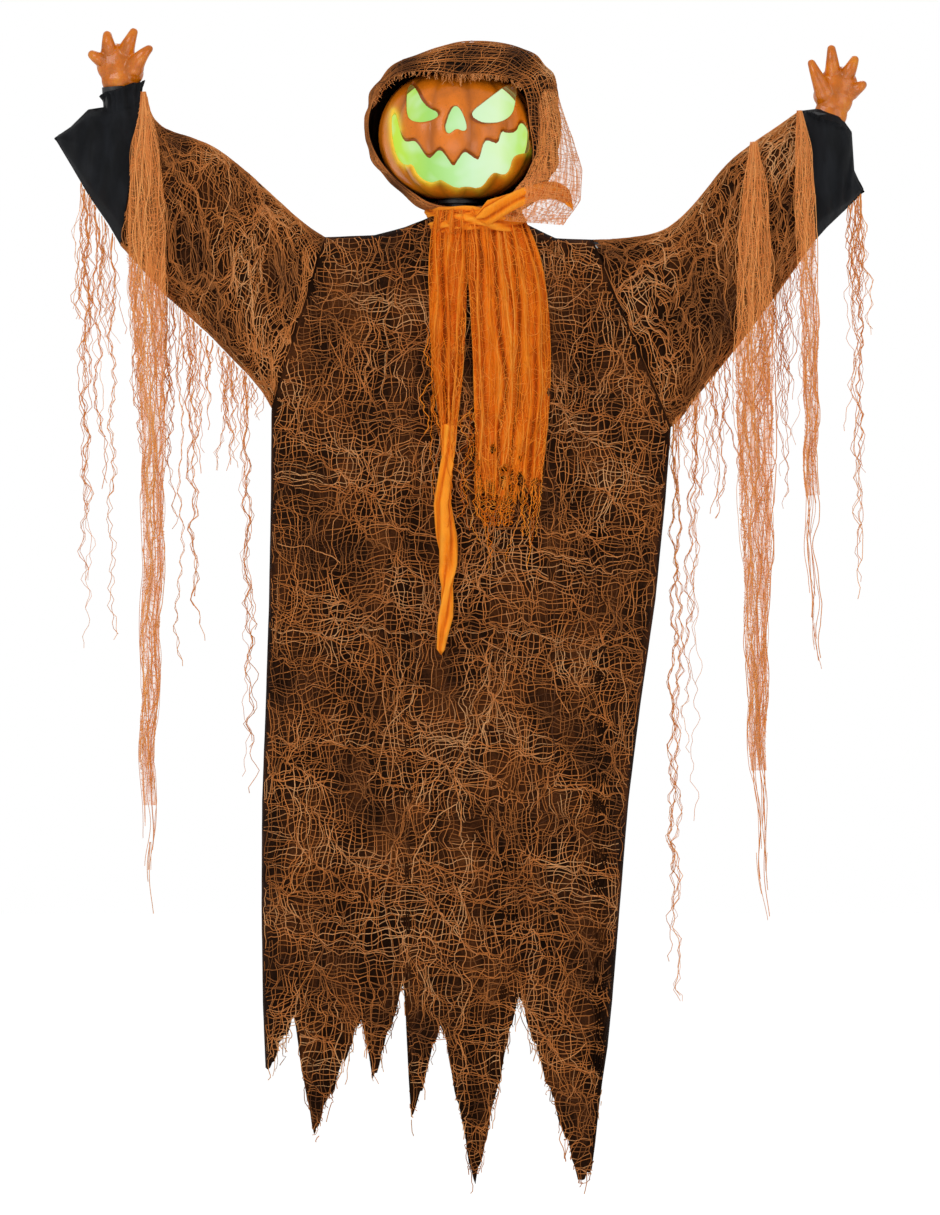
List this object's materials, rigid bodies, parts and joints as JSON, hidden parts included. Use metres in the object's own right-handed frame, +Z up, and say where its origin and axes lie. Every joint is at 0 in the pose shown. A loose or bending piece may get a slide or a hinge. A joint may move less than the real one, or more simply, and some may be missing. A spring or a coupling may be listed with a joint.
{
  "type": "hanging scarecrow figure",
  "caption": "Hanging pumpkin-headed scarecrow with raised pivoting arms, glowing face, tattered gauze robe, hood and scarf.",
  "frame": {"origin": "centre of the hanging eye's hole, above the head", "axes": "+Z up; -Y is the way the face looks; +X is to the right of someone looking at the face"},
  "size_m": [1.2935, 0.2776, 1.8526],
  "materials": {
    "black_lining": "matte",
    "brown_gauze": "matte",
    "orange_gauze": "matte",
    "sheer_gauze": "matte",
    "pumpkin_shell": "satin",
    "hand_vinyl": "gloss",
    "diffuser": "satin",
    "led_lens": "gloss",
    "board_green": "satin",
    "wire_black": "satin",
    "steel": "satin",
    "frame_tube": "satin",
    "black_plastic": "satin",
    "red_plastic": "satin",
    "cell_jacket": "gloss",
    "foam": "matte"
  },
  "bodies": {
    "torso": {"battery_box": "black_plastic", "battery_cells": "cell_jacket", "battery_contacts": "steel", "box_screws": "steel", "collar_screw": "steel", "eye_rivet": "steel", "fringe_left": "sheer_gauze", "fringe_right": "sheer_gauze", "gauze_back": "brown_gauze", "gauze_front": "brown_gauze", "hang_eye": "steel", "head_collar": "black_plastic", "hood": "brown_gauze", "hood_veil": "brown_gauze", "hub_screws": "steel", "lamp_wire": "wire_black", "led_board": "board_green", "leds": "led_lens", "neck_post": "frame_tube", "power_switch": "black_plastic", "robe_back": "black_lining", "robe_front": "black_lining", "scarf_panel": "orange_gauze", "scarf_tail": "orange_gauze", "scarf_wrap": "orange_gauze", "shoulder_bar": "frame_tube", "shoulder_bolts": "steel", "shoulder_fork_left": "black_plastic", "shoulder_fork_right": "black_plastic", "shoulder_hub": "black_plastic", "snap_ring": "steel", "top_washer": "black_plastic", "wing_nuts": "steel"},
    "head": {"pumpkin_front": "pumpkin_shell", "pumpkin_back": "pumpkin_shell", "shell_screws": "steel", "light_liner": "diffuser"},
    "arm_left": {"arm_tube_left": "frame_tube", "arm_pad_left": "foam", "wrist_plug_left": "black_plastic", "cuff_left": "black_lining", "wrist_tie_left": "black_lining", "sleeve_left": "black_lining", "sleeve_gauze_left": "brown_gauze"},
    "arm_right": {"arm_tube_right": "frame_tube", "arm_pad_right": "foam", "wrist_plug_right": "black_plastic", "cuff_right": "black_lining", "wrist_tie_right": "black_lining", "sleeve_right": "black_lining", "sleeve_gauze_right": "brown_gauze"},
    "hand_left": {"hand_left": "hand_vinyl"},
    "hand_right": {"hand_right": "hand_vinyl"},
    "strip_left": {"strip_left": "sheer_gauze"},
    "tassel_left": {"tassel_left": "sheer_gauze"},
    "strip_right_inner": {"strip_right_inner": "sheer_gauze"},
    "strip_right_outer": {"strip_right_outer": "sheer_gauze"},
    "tassel_right": {"tassel_right": "sheer_gauze"},
    "battery_door": {"battery_door": "black_plastic"},
    "switch_slider": {"switch_slider": "red_plastic"}
  },
  "joints": [
    {"name": "head_turn", "type": "hinge", "parent": "torso", "child": "head", "pos_m": [0, 0, -0.238], "axis": [0, 0, 1], "range_deg": [-30, 30]},
    {"name": "shoulder_left", "type": "hinge", "parent": "torso", "child": "arm_left", "pos_m": [-0.218, 0, -0.315], "axis": [0, 1, 0], "range_deg": [-40, 20], "deforming": ["sleeve_left", "sleeve_gauze_left"]},
    {"name": "wrist_left", "type": "hinge", "parent": "arm_left", "child": "hand_left", "pos_m": [-0.54968, 0, -0.06004], "axis": [-0.0698, 0, 0.9976], "range_deg": [-45, 45]},
    {"name": "shoulder_right", "type": "hinge", "parent": "torso", "child": "arm_right", "pos_m": [0.218, 0, -0.315], "axis": [0, -1, 0], "range_deg": [-40, 20], "deforming": ["sleeve_right", "sleeve_gauze_right"]},
    {"name": "wrist_right", "type": "hinge", "parent": "arm_right", "child": "hand_right", "pos_m": [0.57828, 0, -0.10237], "axis": [0.1908, 0, 0.9816], "range_deg": [-45, 45]},
    {"name": "strip_left_hang", "type": "hinge", "parent": "arm_left", "child": "strip_left", "pos_m": [-0.5045, -0.039, -0.11], "axis": [0, 1, 0], "range_deg": [-20, 40]},
    {"name": "tassel_left_hang", "type": "hinge", "parent": "arm_left", "child": "tassel_left", "pos_m": [-0.584, -0.0369, -0.222], "axis": [0, 1, 0], "range_deg": [-20, 40]},
    {"name": "strip_right_inner_hang", "type": "hinge", "parent": "arm_right", "child": "strip_right_inner", "pos_m": [0.468, -0.039, -0.184], "axis": [0, -1, 0], "range_deg": [-20, 40]},
    {"name": "strip_right_outer_hang", "type": "hinge", "parent": "arm_right", "child": "strip_right_outer", "pos_m": [0.53, -0.039, -0.158], "axis": [0, -1, 0], "range_deg": [-20, 40]},
    {"name": "tassel_right_hang", "type": "hinge", "parent": "arm_right", "child": "tassel_right", "pos_m": [0.622, -0.0369, -0.212], "axis": [0, -1, 0], "range_deg": [-20, 40]},
    {"name": "battery_door_hinge", "type": "hinge", "parent": "torso", "child": "battery_door", "pos_m": [0, -0.0071, -0.4165], "axis": [-1, 0, 0], "range_deg": [0, 100]},
    {"name": "power_switch_slide", "type": "slide", "parent": "torso", "child": "switch_slider", "axis": [1, 0, 0], "range_m": [0, 0.006]}
  ],
  "couplings": [
    {"joint": "strip_left_hang", "follows": "shoulder_left", "ratio": -1},
    {"joint": "tassel_left_hang", "follows": "shoulder_left", "ratio": -1},
    {"joint": "strip_right_inner_hang", "follows": "shoulder_right", "ratio": -1},
    {"joint": "strip_right_outer_hang", "follows": "shoulder_right", "ratio": -1},
    {"joint": "tassel_right_hang", "follows": "shoulder_right", "ratio": -1}
  ]
}
